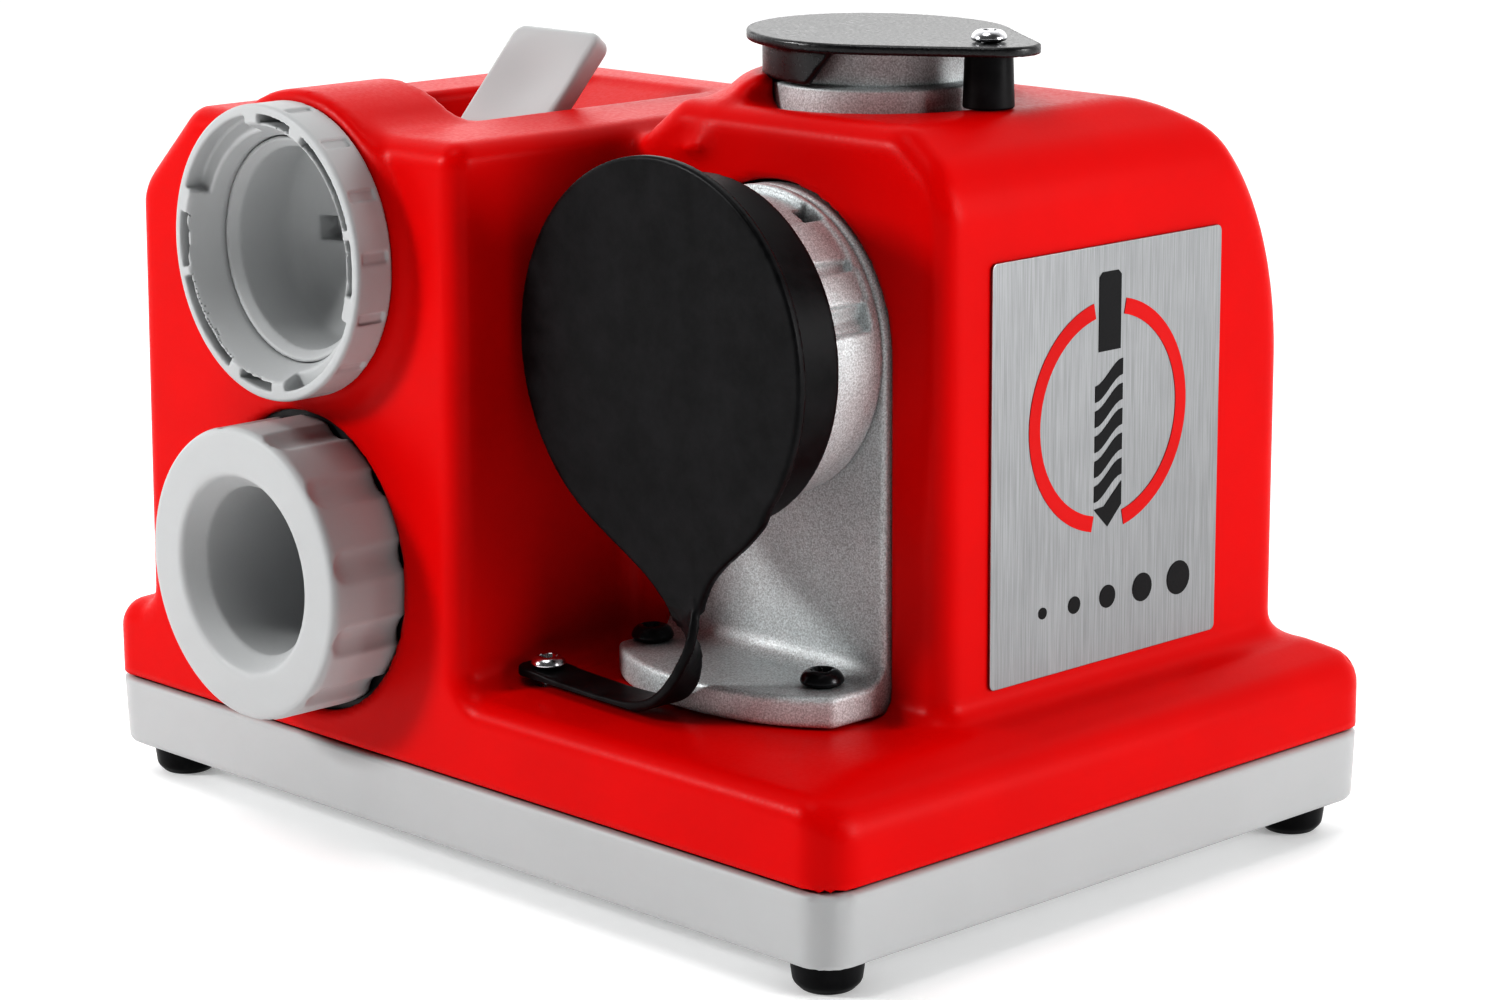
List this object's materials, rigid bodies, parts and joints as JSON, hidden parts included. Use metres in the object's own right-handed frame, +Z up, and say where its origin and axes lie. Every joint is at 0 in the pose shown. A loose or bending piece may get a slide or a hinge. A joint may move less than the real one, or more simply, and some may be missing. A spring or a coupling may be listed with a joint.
{
  "type": "drill bit sharpener",
  "caption": "Bench drill bit sharpener: moulded cover on a tray, front and top grinding ports with rubber caps, setting port, stored drill chuck, paddle switch, motor and wheel inside.",
  "frame": {"origin": "centre of the bounding box in plan, at the underside of the feet", "axes": "+X to the machine's right, -Y out of its front, +Z up"},
  "size_m": [0.2506, 0.1988, 0.1922],
  "materials": {
    "red_plastic": "fine satin, moulded",
    "grey_plastic": "fine satin, moulded",
    "black_rubber": "satin",
    "dark_plastic": "matte",
    "cast_aluminium": "blasted casting",
    "zinc_steel": "bright zinc",
    "black_steel": "black oxide",
    "brushed_plate": "brushed",
    "machined_steel": "machined",
    "laminated_steel": "laminated",
    "copper": "turned",
    "carbon": "matte",
    "ferrite": "matte",
    "abrasive_wheel": "grit coated",
    "circuit_board": "satin"
  },
  "bodies": {
    "machine": {"base_tray": "grey_plastic", "foot_1": "black_rubber", "foot_2": "black_rubber", "foot_3": "black_rubber", "foot_4": "black_rubber", "case_screw_1": "zinc_steel", "case_screw_2": "zinc_steel", "case_screw_3": "zinc_steel", "case_screw_4": "zinc_steel", "housing_cover": "red_plastic", "label_plate": "brushed_plate", "cord_gland": "dark_plastic", "front_port_bracket": "cast_aluminium", "bracket_screw_1": "black_steel", "bracket_screw_2": "black_steel", "front_port_ring": "cast_aluminium", "front_cap_strap": "black_rubber", "strap_screw": "zinc_steel", "top_port_ring": "cast_aluminium", "top_cap_tail": "black_rubber", "cap_post": "black_rubber", "cap_post_screw": "zinc_steel", "setting_socket": "grey_plastic", "chuck_socket": "dark_plastic", "paddle_pin": "machined_steel", "switch_module": "dark_plastic", "motor_can": "machined_steel", "rear_end_bell": "machined_steel", "front_end_bell": "machined_steel", "rear_bearing": "machined_steel", "front_bearing": "machined_steel", "magnet_1": "ferrite", "magnet_2": "ferrite", "brush_card": "circuit_board", "carbon_brush_1": "carbon", "carbon_brush_2": "carbon", "motor_mount_1": "dark_plastic", "motor_mount_2": "dark_plastic", "supply_board": "circuit_board", "capacitor": "dark_plastic"},
    "rotor": {"rotor_shaft": "machined_steel", "rotor_core": "laminated_steel", "commutator": "copper", "cooling_fan": "dark_plastic", "grinding_wheel": "abrasive_wheel", "wheel_inner_flange": "machined_steel", "wheel_outer_flange": "machined_steel", "wheel_nut": "machined_steel"},
    "paddle": {"switch_paddle": "grey_plastic"},
    "dial": {"setting_dial": "grey_plastic"},
    "chuck": {"chuck_body": "machined_steel", "collet": "machined_steel"},
    "grip": {"chuck_grip": "grey_plastic"},
    "front_cap": {"front_cap": "black_rubber"},
    "top_cap": {"top_cap": "black_rubber"}
  },
  "joints": [
    {"name": "wheel_spin", "type": "hinge", "parent": "machine", "child": "rotor", "pos_m": [0, 0.0251, 0.108], "axis": [1, 0, 0], "continuous": true},
    {"name": "paddle_tilt", "type": "hinge", "parent": "machine", "child": "paddle", "pos_m": [-0.037, -0.0219, 0.1605], "axis": [1, 0, 0], "range_deg": [0, 20]},
    {"name": "dial_turn", "type": "hinge", "parent": "machine", "child": "dial", "pos_m": [-0.0435, -0.0809, 0.1398], "axis": [0, -1, 0], "range_deg": [-20, 20]},
    {"name": "chuck_slide", "type": "slide", "parent": "machine", "child": "chuck", "axis": [0, -1, 0], "range_m": [0, 0.045]},
    {"name": "grip_turn", "type": "hinge", "parent": "chuck", "child": "grip", "pos_m": [-0.045, -0.0809, 0.0667], "axis": [0, -1, 0], "continuous": true},
    {"name": "front_cap_pull", "type": "slide", "parent": "machine", "child": "front_cap", "axis": [0, -1, 0], "range_m": [0, 0.03]},
    {"name": "top_cap_lift", "type": "slide", "parent": "machine", "child": "top_cap", "axis": [0, 0, 1], "range_m": [0, 0.015]}
  ]
}
